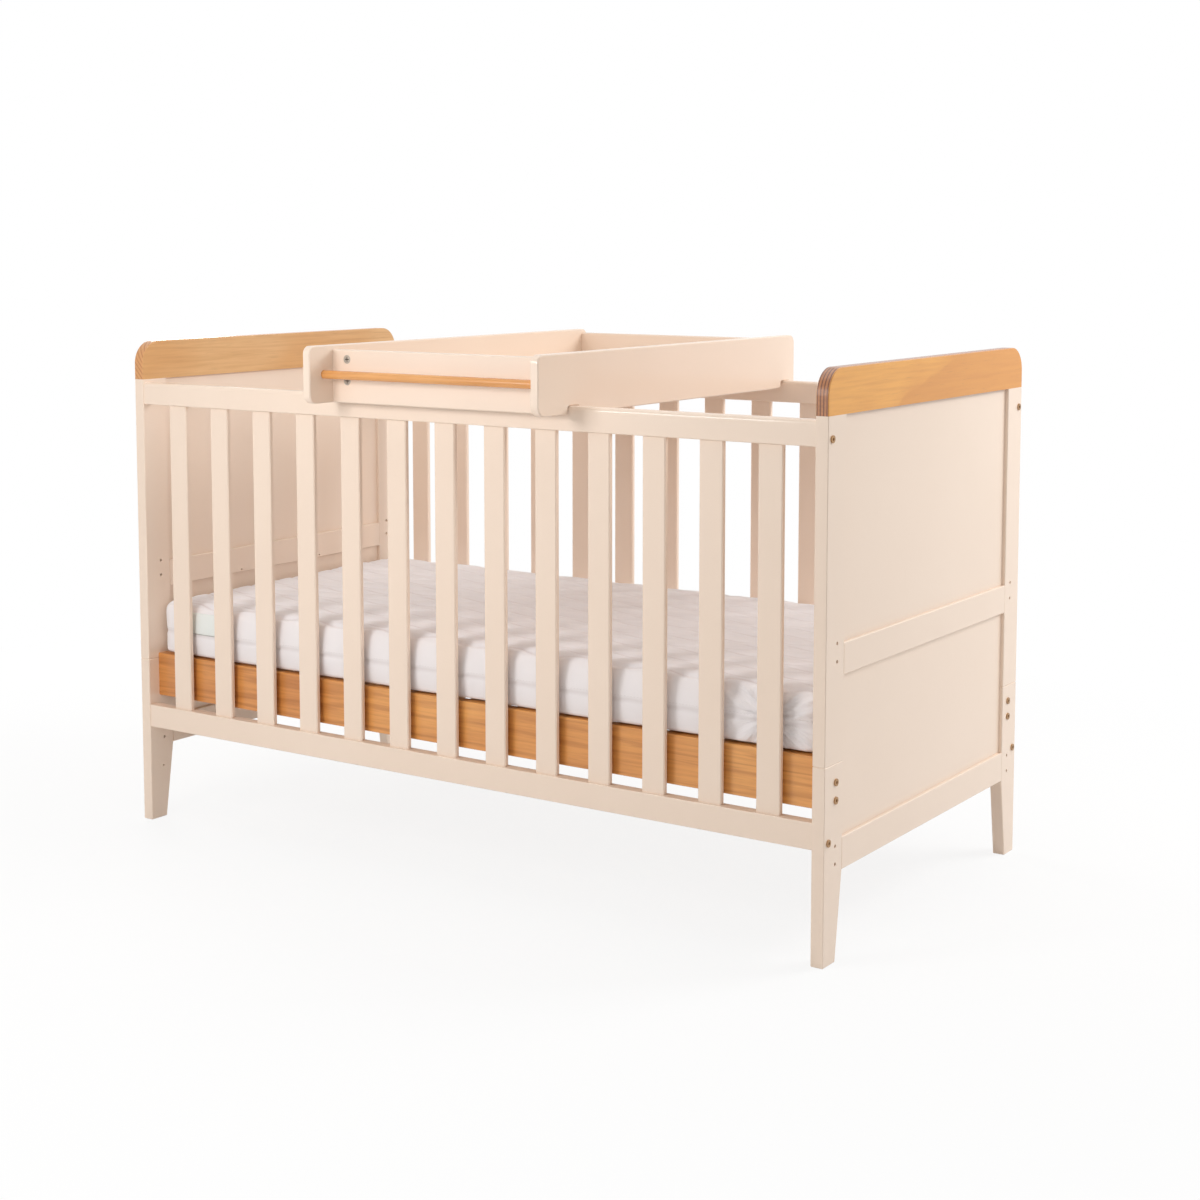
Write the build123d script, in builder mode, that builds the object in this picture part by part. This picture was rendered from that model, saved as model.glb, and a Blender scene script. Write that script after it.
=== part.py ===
from build123d import *
import os

# A cot bed with a changer laid across its side rails. All sizes are in millimetres.
# X runs along the bed, Y from the front side to the rear side, and Z up from the floor.
# The origin is on the floor, below the middle of the outline of the bed with its changer on.

os.makedirs("parts", exist_ok=True)

# Bed frame
bed_length = 1476.0
bed_depth = 745.0
end_thickness = 22.0
post_width = 60.0
post_top = 852.0
seam_height = 314.5
seam_bevel = 1.2
edge_bevel = 1.2
foot_width = 39.5
foot_bevel = 1.0

# Bed ends: cap, end rails and panels
cap_height = 72.0
cap_corner_radius = 42.0
mid_rail_bottom = 449.5
mid_rail_height = 50.0
end_rail_bottom = 142.0
end_rail_height = 52.0
end_rail_haunch = 6.0
panel_thickness = 10.0
groove_depth = 8.0
groove_gap = 0.5
peg_hole_radius = 2.0
peg_hole_depth = 5.0
rail_peg_offset = 116.0
rail_peg_rise = 5.0
leg_peg_height = 101.0
leg_peg_inset = 33.0

# Wooden dowels
dowel_radius = 4.0
dowel_length = 40.0
dowel_clearance = 0.1
dowel_end_gap = 0.5
outer_dowel_inset = 24.0
inner_dowel_inset = 45.0
side_dowel_length = 30.0
side_dowel_in_post = 12.0

# Slatted sides
side_setback = 2.0
rail_thickness = 22.0
top_rail_drop = 6.0
top_rail_height = 41.0
top_rail_round = 6.5
bottom_rail_bottom = 183.0
bottom_rail_height = 43.0
side_slat_count = 13
side_slat_end_gap = 59.7
side_slat_width = 43.0
side_slat_thickness = 10.0
side_slat_bevel = 1.8
slat_tenon = 12.0
slot_clearance = 0.15
slot_end_gap = 0.5
side_bolt_rise = 12.0
side_dowel_rise = 29.0

# Hex socket bolts and the barrel nuts that they pull on
bolt_radius = 3.0
bolt_length = 60.0
bolt_hole_radius = 3.2
bolt_end_gap = 2.0
head_radius = 6.0
head_height = 2.0
socket_sides = 6
socket_across_flats = 4.5
socket_depth = 1.6
barrel_radius = 5.0
barrel_length = 15.0
barrel_clearance = 0.15

# Slatted base
base_rail_bottom = 241.0
base_rail_height = 82.0
base_rail_thickness = 22.0
base_bolt_inset = 36.5
base_bolt_rise = 16.0
base_bolt_pitch = 28.5
low_hole_height = 156.5
high_hole_height = 473.5
base_end_gap = 0.5
ledger_thickness = 18.0
ledger_height = 18.0
base_slat_count = 14
base_slat_width = 60.0
base_slat_thickness = 12.0
base_slat_margin = 24.0
base_slat_gap = 1.0
base_slat_bevel = 1.5

# Mattress
mattress_end_gap = 4.0
mattress_side_gap = 2.5
mattress_height = 105.0
mattress_lift = 0.3
mattress_crown = 5.0
mattress_bow = 4.0
mattress_corner_radius = 42.0
mattress_top_round = 26.0
mattress_bottom_round = 7.0
mattress_seam_height = 44.0
mattress_seam_width = 5.0
mattress_seam_depth = 2.5

# Changer
changer_length = 500.0
changer_offset = 13.5
board_thickness = 16.0
board_bevel = 1.8
side_board_height = 100.0
seat_depth = 13.5
front_reach = 83.5
rear_reach = 19.5
hook_clearance = 2.0
seat_play = 8.0
seat_bevel = 3.0
board_top_radius = 13.0
front_hook_radius = 18.0
rear_top_radius = 15.0
rear_hook_radius = 8.0
cross_board_height = 92.5
front_board_setback = 60.0
floor_thickness = 9.0
floor_rise = 2.0
floor_groove = 6.0
floor_gap = 0.5

# Towel rail of the changer
towel_rail_radius = 7.5
towel_rail_inset = 37.0
towel_hole_clearance = 0.1
towel_hole_depth = 10.0
towel_end_gap = 0.4

# Cam locks of the changer and their pins
cam_radius = 7.5
cam_depth = 12.5
cam_clearance = 0.15
cam_inset = 33.0
lower_cam_rise = 38.5
upper_cam_rise = 76.0
cam_cross_width = 1.6
cam_cross_length = 9.0
cam_cross_depth = 1.5
pin_radius = 2.6
pin_thread_length = 11.0
pin_clearance = 0.15
pin_end_gap = 0.3

# A cut that ends in the open runs past the face by this much
overrun = 4.0

# Places worked out from the sizes above
half_length = bed_length / 2
half_depth = bed_depth / 2
end_face = half_length - end_thickness
end_middle = half_length - end_thickness / 2
bed_y = (front_reach - rear_reach) / 2
rail_face = half_depth - side_setback
rail_middle = rail_face - rail_thickness / 2
rail_top = post_top - top_rail_drop
top_rail_bottom = rail_top - top_rail_height
slat_span = 2 * (end_face - side_slat_end_gap) - side_slat_width
side_slat_pitch = slat_span / (side_slat_count - 1)
barrel_inset = bolt_length - end_thickness - barrel_radius + bolt_end_gap
base_rail_middle = half_depth - base_bolt_inset
base_rail_inner = base_rail_middle - base_rail_thickness / 2
base_top = base_rail_bottom + base_rail_height
base_bolt_height = base_rail_bottom + base_bolt_rise
mid_rail_top = mid_rail_bottom + mid_rail_height
end_rail_top = end_rail_bottom + end_rail_height
end_rail_half = half_depth - post_width
rail_bottoms = (bottom_rail_bottom, top_rail_bottom)
base_bolt_heights = (base_bolt_height, base_bolt_height + base_bolt_pitch)
low_hole_heights = (low_hole_height, low_hole_height + base_bolt_pitch)
high_hole_heights = (high_hole_height, high_hole_height + base_bolt_pitch)
ends = (("left", -1), ("right", 1))
sides = (("front", -1), ("rear", 1))
corners = [(end_sign, side_sign) for _, end_sign in ends for _, side_sign in sides]


def save(piece, name):
    """Label a finished piece and write it to its own file."""
    piece.part.label = name
    export_step(piece.part, f"parts/{name}.step")


def upright_edges(piece):
    """The long edges of a post or leg, which stand upright or lean a little."""
    return piece.edges().filter_by(lambda edge: abs(edge.tangent_at(0.5).Z) > 0.9)


def drill(plane, spots, radius, depth):
    """Cut round holes from both sides of a plane."""
    with BuildSketch(plane) as holes:
        with Locations(*spots):
            Circle(radius)
    extrude(holes.sketch, amount=depth, both=True, mode=Mode.SUBTRACT)


def through_holes(end_sign, y, heights, radius):
    """Holes right through a post or leg, for bolts or spare for another height of the base."""
    spots = [(y, height) for height in heights]
    drill(Plane.YZ.offset(end_sign * end_middle), spots, radius, end_thickness)


def dowel_bores(end_sign, side_sign, height):
    """Two upright bores, each for half a dowel, at the meeting of a post with its leg or cap."""
    insets = (outer_dowel_inset, inner_dowel_inset)
    spots = [(end_sign * end_middle, bed_y + side_sign * (half_depth - inset)) for inset in insets]
    drill(Plane.XY.offset(height), spots, dowel_radius + dowel_clearance, dowel_length / 2 + dowel_end_gap)


def side_dowel_bore(end_sign, side_sign, bottom):
    """The blind bore in a post or leg for the dowel that keeps a side rail from turning."""
    spot = (bed_y + side_sign * rail_middle, bottom + side_dowel_rise)
    inner_face = Plane.YZ.offset(end_sign * end_face)
    drill(inner_face, [spot], dowel_radius + dowel_clearance, side_dowel_in_post + dowel_end_gap)


# Legs: the outer edge is straight, and the inner edge tapers from the end rail to the foot.
# The groove for the lower panel stops above the leg's shoulder.
for end, end_sign in ends:
    for side, side_sign in sides:
        outer_y = bed_y + side_sign * half_depth
        inner_y = bed_y + side_sign * end_rail_half
        foot_y = bed_y + side_sign * (half_depth - foot_width)
        with BuildPart() as leg:
            with BuildSketch(Plane.YZ.offset(end_sign * end_middle)):
                with BuildLine():
                    Polyline(
                        (outer_y, 0),
                        (outer_y, seam_height),
                        (inner_y, seam_height),
                        (inner_y, end_rail_bottom),
                        (foot_y, 0),
                        close=True,
                    )
                make_face()
            extrude(amount=end_thickness / 2, both=True)
            chamfer(upright_edges(leg), edge_bevel)
            chamfer(leg.faces().sort_by(Axis.Z)[-1].edges(), seam_bevel)
            chamfer(leg.faces().sort_by(Axis.Z)[0].edges(), foot_bevel)
            with BuildSketch(Plane.XY.offset(end_rail_bottom + end_rail_haunch)):
                with Locations((end_sign * end_middle, inner_y)):
                    Rectangle(panel_thickness, 2 * groove_depth)
            extrude(amount=seam_height, mode=Mode.SUBTRACT)
            dowel_bores(end_sign, side_sign, seam_height)
            side_bolt_y = bed_y + side_sign * rail_middle
            base_bolt_y = bed_y + side_sign * base_rail_middle
            through_holes(end_sign, side_bolt_y, [bottom_rail_bottom + side_bolt_rise], bolt_hole_radius)
            through_holes(end_sign, base_bolt_y, base_bolt_heights, bolt_hole_radius)
            through_holes(end_sign, base_bolt_y, low_hole_heights, bolt_radius)
            side_dowel_bore(end_sign, side_sign, bottom_rail_bottom)
            peg_spot = (bed_y + side_sign * (half_depth - leg_peg_inset), leg_peg_height)
            drill(Plane.YZ.offset(end_sign * end_face), [peg_spot], peg_hole_radius, peg_hole_depth)
        save(leg, f"leg_{side}_{end}")

# Posts: each stands on its leg, and its groove carries on up to the cap
for end, end_sign in ends:
    for side, side_sign in sides:
        post_y = bed_y + side_sign * (half_depth - post_width / 2)
        inner_y = bed_y + side_sign * end_rail_half
        with BuildPart() as post:
            with BuildSketch(Plane.XY.offset(seam_height)):
                with Locations((end_sign * end_middle, post_y)):
                    Rectangle(end_thickness, post_width)
            extrude(amount=post_top - seam_height)
            chamfer(upright_edges(post), edge_bevel)
            chamfer(post.faces().sort_by(Axis.Z)[0].edges(), seam_bevel)
            with BuildSketch(Plane.XY.offset(seam_height)):
                with Locations((end_sign * end_middle, inner_y)):
                    Rectangle(panel_thickness, 2 * groove_depth)
            extrude(amount=post_top, mode=Mode.SUBTRACT)
            dowel_bores(end_sign, side_sign, seam_height)
            dowel_bores(end_sign, side_sign, post_top)
            side_bolt_y = bed_y + side_sign * rail_middle
            base_bolt_y = bed_y + side_sign * base_rail_middle
            through_holes(end_sign, side_bolt_y, [top_rail_bottom + side_bolt_rise], bolt_hole_radius)
            through_holes(end_sign, base_bolt_y, high_hole_heights, bolt_radius)
            side_dowel_bore(end_sign, side_sign, top_rail_bottom)
        save(post, f"post_{side}_{end}")

# Caps: a bent-cornered top piece that lies along both posts, grooved below for the upper panel
for end, end_sign in ends:
    with BuildPart() as cap:
        with BuildSketch(Plane.YZ.offset(end_sign * end_middle)) as cap_outline:
            with Locations((bed_y, post_top + cap_height / 2)):
                Rectangle(bed_depth, cap_height)
            fillet(cap_outline.vertices().group_by(Axis.Y)[-1], cap_corner_radius)
        extrude(amount=end_thickness / 2, both=True)
        cap_edges = cap.faces().filter_by(Axis.X).edges()
        chamfer(cap_edges.filter_by(lambda edge: edge.center().Z > post_top + edge_bevel), edge_bevel)
        with BuildSketch(Plane.XY.offset(post_top)):
            with Locations((end_sign * end_middle, bed_y)):
                Rectangle(panel_thickness, 2 * (end_rail_half + groove_depth))
        extrude(amount=groove_depth, mode=Mode.SUBTRACT)
        for _, side_sign in sides:
            dowel_bores(end_sign, side_sign, post_top)
    save(cap, f"cap_{end}")


def end_rail(end_sign, bottom, height, tenon_bottom, tenon_top, grooved_edges):
    """A cross rail of a bed end: grooved for the panels, with a stub tenon at both ends."""
    across = Plane.XZ.offset(-bed_y)
    with BuildPart() as rail:
        with BuildSketch(across):
            with Locations((end_sign * end_middle, bottom + height / 2)):
                Rectangle(end_thickness, height)
        extrude(amount=end_rail_half, both=True)
        chamfer(rail.edges().filter_by(Axis.Y), edge_bevel)
        with BuildSketch(across):
            with Locations(*[(end_sign * end_middle, edge) for edge in grooved_edges]):
                Rectangle(panel_thickness, 2 * groove_depth)
        extrude(amount=end_rail_half, both=True, mode=Mode.SUBTRACT)
        with BuildSketch(across):
            with Locations((end_sign * end_middle, (tenon_bottom + tenon_top) / 2)):
                Rectangle(panel_thickness, tenon_top - tenon_bottom)
        extrude(amount=end_rail_half + groove_depth - groove_gap, both=True)
    return rail


def end_panel(end_sign, bottom, top):
    """A flat panel whose four edges sit in the grooves around it."""
    tongue = groove_depth - groove_gap
    with BuildPart() as panel:
        with BuildSketch(Plane.YZ.offset(end_sign * end_middle)):
            with Locations((bed_y, (bottom + top) / 2)):
                Rectangle(2 * (end_rail_half + tongue), top - bottom + 2 * tongue)
        extrude(amount=panel_thickness / 2, both=True)
    return panel


# End rails and panels
for end, end_sign in ends:
    mid_rail = end_rail(
        end_sign,
        mid_rail_bottom,
        mid_rail_height,
        mid_rail_bottom + groove_depth,
        mid_rail_top - groove_depth,
        (mid_rail_bottom, mid_rail_top),
    )
    with mid_rail:
        peg_height = mid_rail_bottom + rail_peg_rise
        peg_spots = [(bed_y + side_sign * rail_peg_offset, peg_height) for _, side_sign in sides]
        drill(Plane.YZ.offset(end_sign * end_face), peg_spots, peg_hole_radius, peg_hole_depth)
    save(mid_rail, f"mid_rail_{end}")
    bottom_rail = end_rail(
        end_sign,
        end_rail_bottom,
        end_rail_height,
        end_rail_bottom + end_rail_haunch,
        end_rail_top - groove_depth,
        (end_rail_top,),
    )
    save(bottom_rail, f"bottom_rail_{end}")
    save(end_panel(end_sign, mid_rail_top, post_top), f"upper_panel_{end}")
    save(end_panel(end_sign, end_rail_top, mid_rail_bottom), f"lower_panel_{end}")


def slat_slots(y, height, depth):
    """The row of blind slots that hold the ends of the side slats."""
    with BuildSketch(Plane.XY.offset(height)) as slots:
        with Locations((0, y)):
            with GridLocations(side_slat_pitch, side_slat_width, side_slat_count, 1):
                Rectangle(side_slat_width + 2 * slot_clearance, side_slat_thickness + 2 * slot_clearance)
    extrude(slots.sketch, amount=depth, mode=Mode.SUBTRACT)


def rail_fittings(y, side_sign, bolt_heights):
    """Bores for bolts in both ends of a rail, and holes for the barrel nuts in its inner face."""
    inner_face = Plane.XZ.offset(side_sign * rail_thickness / 2 - y)
    barrel_hole_depth = (rail_thickness + barrel_length) / 2
    for _, end_sign in ends:
        spots = [(y, height) for height in bolt_heights]
        drill(Plane.YZ.offset(end_sign * end_face), spots, bolt_hole_radius, barrel_inset)
        barrel_spots = [(end_sign * (end_face - barrel_inset), height) for height in bolt_heights]
        drill(inner_face, barrel_spots, barrel_radius + barrel_clearance, barrel_hole_depth)


# Side rails: the top edge of the upper rail is rounded, and both rails are slotted for the slats
for side, side_sign in sides:
    rail_y = bed_y + side_sign * rail_middle
    for level, bottom, height, top_round in (
        ("top", top_rail_bottom, top_rail_height, top_rail_round),
        ("bottom", bottom_rail_bottom, bottom_rail_height, edge_bevel),
    ):
        with BuildPart() as rail:
            with BuildSketch(Plane.YZ) as rail_section:
                with Locations((rail_y, bottom + height / 2)):
                    Rectangle(rail_thickness, height)
                fillet(rail_section.vertices().group_by(Axis.Y)[-1], top_round)
                chamfer(rail_section.vertices().group_by(Axis.Y)[0], edge_bevel)
            extrude(amount=end_face, both=True)
            if level == "top":
                slat_slots(rail_y, bottom, slat_tenon)
            else:
                slat_slots(rail_y, bottom + height, -slat_tenon)
            rail_fittings(rail_y, side_sign, [bottom + side_bolt_rise])
            in_rail = side_dowel_length - side_dowel_in_post + dowel_end_gap
            for _, end_sign in ends:
                rail_end = Plane.YZ.offset(end_sign * end_face)
                drill(rail_end, [(rail_y, bottom + side_dowel_rise)], dowel_radius + dowel_clearance, in_rail)
        save(rail, f"{side}_{level}_rail")


def side_slat(x, y):
    """A flat upright slat that stands in the slots of two side rails."""
    slat_bottom = bottom_rail_bottom + bottom_rail_height - slat_tenon
    slat_top = top_rail_bottom + slat_tenon - slot_end_gap
    with BuildSketch(Plane.XY.offset(slat_bottom)) as slat_section:
        with Locations((x, y)):
            Rectangle(side_slat_width, side_slat_thickness)
        chamfer(slat_section.vertices(), side_slat_bevel)
    extrude(slat_section.sketch, amount=slat_top - slat_bottom)


# Side slats
slat_places = [(index - (side_slat_count - 1) / 2) * side_slat_pitch for index in range(side_slat_count)]
for number, slat_x in enumerate(slat_places, start=1):
    with BuildPart() as front_slat:
        side_slat(slat_x, bed_y - rail_middle)
    save(front_slat, f"front_slat_{number:02d}")

with BuildPart() as rear_slats:
    for slat_x in slat_places:
        side_slat(slat_x, bed_y + rail_middle)
save(rear_slats, "rear_slats")

# Base: two bolted side rails, each with a ledger along its inner face for the slats
base_slat_span = 2 * (end_face - base_slat_margin) - base_slat_width
base_slat_pitch = base_slat_span / (base_slat_count - 1)
ledger_middle = base_rail_inner - ledger_thickness / 2
ledger_top = base_top - base_slat_thickness

for side, side_sign in sides:
    base_rail_y = bed_y + side_sign * base_rail_middle
    with BuildPart() as base_rail:
        with BuildSketch(Plane.YZ):
            with Locations((base_rail_y, base_rail_bottom + base_rail_height / 2)):
                Rectangle(base_rail_thickness, base_rail_height)
        extrude(amount=end_face, both=True)
        chamfer(base_rail.edges().filter_by(Axis.X), edge_bevel)
        rail_fittings(base_rail_y, side_sign, base_bolt_heights)
    save(base_rail, f"{side}_base_rail")

    with BuildPart() as ledger:
        with BuildSketch(Plane.YZ):
            with Locations((bed_y + side_sign * ledger_middle, ledger_top - ledger_height / 2)):
                Rectangle(ledger_thickness, ledger_height)
        extrude(amount=end_face - base_end_gap, both=True)
    save(ledger, f"{side}_ledger")

with BuildPart() as base_slats:
    with BuildSketch(Plane.XY.offset(ledger_top)):
        with Locations((0, bed_y)):
            with GridLocations(base_slat_pitch, base_slat_width, base_slat_count, 1):
                Rectangle(base_slat_width, 2 * (base_rail_inner - base_slat_gap))
    extrude(amount=base_slat_thickness)
    chamfer(base_slats.edges().filter_by(Axis.Y).group_by(Axis.Z)[-1], base_slat_bevel)
save(base_slats, "base_slats")


def hex_bolt(end_sign, y, height):
    """A bolt through a post or leg, its flat head on the wood and a hex socket in the head."""
    seat = Plane.YZ.offset(end_sign * half_length)
    with BuildSketch(seat) as shank:
        with Locations((y, height)):
            Circle(bolt_radius)
    extrude(shank.sketch, amount=-end_sign * bolt_length)
    with BuildSketch(seat) as head:
        with Locations((y, height)):
            Circle(head_radius)
    extrude(head.sketch, amount=end_sign * head_height)
    with BuildSketch(Plane.YZ.offset(end_sign * (half_length + head_height))) as socket:
        with Locations((y, height)):
            RegularPolygon(socket_across_flats / 2, socket_sides, major_radius=False)
    extrude(socket.sketch, amount=-end_sign * socket_depth, mode=Mode.SUBTRACT)


def barrel_nut(end_sign, y, height):
    """A barrel nut set across a rail, with the hole that its bolt runs through."""
    x = end_sign * (end_face - barrel_inset)
    with BuildSketch(Plane.XZ.offset(-y)) as barrel:
        with Locations((x, height)):
            Circle(barrel_radius)
    extrude(barrel.sketch, amount=barrel_length / 2, both=True)
    with BuildSketch(Plane.YZ.offset(x)) as bolt_hole:
        with Locations((y, height)):
            Circle(bolt_radius + barrel_clearance)
    extrude(bolt_hole.sketch, amount=barrel_radius + overrun, both=True, mode=Mode.SUBTRACT)


# Bolts and barrel nuts of the side rails and of the base
side_bolt_heights = [bottom + side_bolt_rise for bottom in rail_bottoms]
for group, group_y, heights in (
    ("side", rail_middle, side_bolt_heights),
    ("base", base_rail_middle, base_bolt_heights),
):
    with BuildPart() as bolts:
        for end_sign, side_sign in corners:
            for height in heights:
                hex_bolt(end_sign, bed_y + side_sign * group_y, height)
    save(bolts, f"{group}_bolts")

    with BuildPart() as barrel_nuts:
        for end_sign, side_sign in corners:
            for height in heights:
                barrel_nut(end_sign, bed_y + side_sign * group_y, height)
    save(barrel_nuts, f"{group}_barrel_nuts")

# Dowels between the legs and posts, and between the posts and caps
for group, height in (("leg", seam_height), ("cap", post_top)):
    with BuildPart() as dowels:
        with BuildSketch(Plane.XY.offset(height)):
            for end_sign, side_sign in corners:
                for inset in (outer_dowel_inset, inner_dowel_inset):
                    with Locations((end_sign * end_middle, bed_y + side_sign * (half_depth - inset))):
                        Circle(dowel_radius)
        extrude(amount=dowel_length / 2, both=True)
    save(dowels, f"{group}_dowels")

# Dowels between the side rails and the posts or legs
with BuildPart() as side_dowels:
    for end_sign, side_sign in corners:
        spots = [(bed_y + side_sign * rail_middle, bottom + side_dowel_rise) for bottom in rail_bottoms]
        with BuildSketch(Plane.YZ.offset(end_sign * (end_face + side_dowel_in_post))):
            with Locations(*spots):
                Circle(dowel_radius)
        extrude(amount=-end_sign * side_dowel_length)
save(side_dowels, "side_dowels")

# Mattress: the sides bow out a little between rounded corners, the top is crowned across its
# width, and a seam channel runs around it
mattress_bottom = base_top + mattress_lift
mattress_top = mattress_bottom + mattress_height
mattress_half_length = end_face - mattress_end_gap
mattress_half_width = rail_face - rail_thickness - mattress_side_gap
mattress_front = bed_y - mattress_half_width
mattress_rear = bed_y + mattress_half_width
crown_edge = mattress_top - mattress_crown
crown_front = mattress_front - overrun
crown_rear = mattress_rear + overrun


def mattress_outline(inset):
    """The outline of the mattress seen from above, drawn in by an inset."""
    end_x = mattress_half_length - inset
    corner_x = end_x - mattress_bow
    front = mattress_front + inset
    rear = mattress_rear - inset
    corner_front = front + mattress_bow
    corner_rear = rear - mattress_bow
    with BuildSketch() as outline:
        with BuildLine():
            ThreePointArc((-corner_x, corner_front), (0, front), (corner_x, corner_front))
            ThreePointArc((corner_x, corner_front), (end_x, bed_y), (corner_x, corner_rear))
            ThreePointArc((corner_x, corner_rear), (0, rear), (-corner_x, corner_rear))
            ThreePointArc((-corner_x, corner_rear), (-end_x, bed_y), (-corner_x, corner_front))
        make_face()
        fillet(outline.vertices(), mattress_corner_radius - inset)
    return outline.sketch


with BuildPart() as mattress:
    with BuildSketch(Plane.YZ):
        with BuildLine():
            ThreePointArc((crown_front, crown_edge), (bed_y, mattress_top), (crown_rear, crown_edge))
            Polyline(
                (crown_rear, crown_edge),
                (crown_rear, mattress_bottom),
                (crown_front, mattress_bottom),
                (crown_front, crown_edge),
            )
        make_face()
    extrude(amount=mattress_half_length + overrun, both=True)
    with BuildSketch(Plane.XY.offset(mattress_bottom)):
        add(mattress_outline(0))
    extrude(amount=mattress_height, mode=Mode.INTERSECT)
    fillet(mattress.edges().group_by(Axis.Z)[0], mattress_bottom_round)
    crown_rim = mattress.edges().filter_by(lambda edge: edge.center().Z > crown_edge - mattress_crown)
    fillet(crown_rim, mattress_top_round)
    with BuildSketch(Plane.XY.offset(mattress_bottom + mattress_seam_height)) as seam:
        with Locations((0, bed_y)):
            Rectangle(2 * (mattress_half_length + overrun), 2 * (mattress_half_width + overrun))
        add(mattress_outline(mattress_seam_depth), mode=Mode.SUBTRACT)
    extrude(seam.sketch, amount=mattress_seam_width / 2, both=True, mode=Mode.SUBTRACT)
save(mattress, "mattress")

# Changer: places worked out from its sizes
changer_bottom = rail_top - seat_depth
changer_front = bed_y - half_depth - front_reach
changer_rear = bed_y + half_depth + rear_reach
changer_ends = [changer_offset + end_sign * changer_length / 2 for _, end_sign in ends]
changer_inner_ends = [
    changer_offset + end_sign * (changer_length / 2 - board_thickness) for _, end_sign in ends
]
hook_face = rail_face + hook_clearance
seat_inner = rail_face - rail_thickness - seat_play
seat_middle = (hook_face + seat_inner) / 2
seat_width = hook_face - seat_inner
front_board_face = changer_front + front_board_setback
back_board_face = bed_y + hook_face + board_thickness
tray_front = front_board_face + board_thickness
tray_rear = back_board_face - board_thickness
tray_middle = (tray_front + tray_rear) / 2
tray_depth = tray_rear - tray_front
floor_middle = rail_top + floor_rise + floor_thickness / 2
changer_inner_length = changer_length - 2 * board_thickness
towel_rail_y = changer_front + towel_rail_inset
towel_rail_height = changer_bottom + side_board_height / 2
cam_heights = (changer_bottom + lower_cam_rise, changer_bottom + upper_cam_rise)
cross_boards = (("front", front_board_face, 1), ("back", back_board_face, -1))


def floor_slot():
    """The groove for the edges of the tray floor, as a box that runs into every board."""
    with BuildSketch(Plane.XY.offset(floor_middle)) as slot:
        with Locations((changer_offset, tray_middle)):
            Rectangle(changer_inner_length + 2 * floor_groove, tray_depth + 2 * floor_groove)
    extrude(slot.sketch, amount=floor_thickness / 2, both=True, mode=Mode.SUBTRACT)


# Side boards: rounded at the ends, and notched to sit on the two top rails
for (side, end_sign), outer_x, inner_x in zip(ends, changer_ends, changer_inner_ends):
    with BuildPart() as side_board:
        with BuildSketch(Plane.YZ.offset((outer_x + inner_x) / 2)) as board_outline:
            with Locations(((changer_front + changer_rear) / 2, changer_bottom + side_board_height / 2)):
                Rectangle(changer_rear - changer_front, side_board_height)
            for along, up, radius in (
                (0, 0, front_hook_radius),
                (0, -1, board_top_radius),
                (-1, 0, rear_hook_radius),
                (-1, -1, rear_top_radius),
            ):
                end_corners = board_outline.vertices().group_by(Axis.X)[along]
                fillet(end_corners.sort_by(Axis.Y)[up], radius)
            with Locations((bed_y - seat_middle, changer_bottom), (bed_y + seat_middle, changer_bottom)):
                Rectangle(seat_width, 2 * seat_depth, mode=Mode.SUBTRACT)
            seat_corners = board_outline.vertices().filter_by(
                lambda corner: abs(abs(corner.X - bed_y) - seat_middle) < (seat_width + board_bevel) / 2
            )
            chamfer(seat_corners, seat_bevel)
        extrude(amount=board_thickness / 2, both=True)
        chamfer(side_board.faces().filter_by(Axis.X).edges(), board_bevel)
        floor_slot()
        inner_face = Plane.YZ.offset(inner_x)
        towel_hole_radius = towel_rail_radius + towel_hole_clearance
        drill(inner_face, [(towel_rail_y, towel_rail_height)], towel_hole_radius, towel_hole_depth)
        pin_spots = [
            (face + inward * board_thickness / 2, height)
            for _, face, inward in cross_boards
            for height in cam_heights
        ]
        drill(inner_face, pin_spots, pin_radius + pin_clearance, pin_thread_length)
    save(side_board, f"changer_{side}_board")

# Front and back boards: each is held by two cam locks at either end
for name, face, inward in cross_boards:
    board_y = face + inward * board_thickness / 2
    with BuildPart() as cross_board:
        with BuildSketch(Plane.YZ.offset(changer_offset)):
            with Locations((board_y, changer_bottom + cross_board_height / 2)):
                Rectangle(board_thickness, cross_board_height)
        extrude(amount=changer_inner_length / 2, both=True)
        chamfer(cross_board.edges().filter_by(Axis.X), board_bevel)
        floor_slot()
        for (_, end_sign), inner_x in zip(ends, changer_inner_ends):
            cam_spots = [(inner_x - end_sign * cam_inset, height) for height in cam_heights]
            drill(Plane.XZ.offset(-face), cam_spots, cam_radius + cam_clearance, cam_depth)
            pin_spots = [(board_y, height) for height in cam_heights]
            drill(Plane.YZ.offset(inner_x), pin_spots, pin_radius + pin_clearance, cam_inset - cam_radius)
    save(cross_board, f"changer_{name}_board")

# Tray floor
with BuildPart() as tray_floor:
    with BuildSketch(Plane.XY.offset(floor_middle)):
        with Locations((changer_offset, tray_middle)):
            tongue = floor_groove - floor_gap
            Rectangle(changer_inner_length + 2 * tongue, tray_depth + 2 * tongue)
    extrude(amount=floor_thickness / 2, both=True)
save(tray_floor, "changer_floor")

# Towel rail: a loose dowel that turns in the blind holes of the side boards
with BuildPart() as towel_rail:
    with BuildSketch(Plane.YZ.offset(changer_offset)):
        with Locations((towel_rail_y, towel_rail_height)):
            Circle(towel_rail_radius)
    extrude(amount=changer_inner_length / 2 + towel_hole_depth - towel_end_gap, both=True)
save(towel_rail, "towel_rail")

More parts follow.
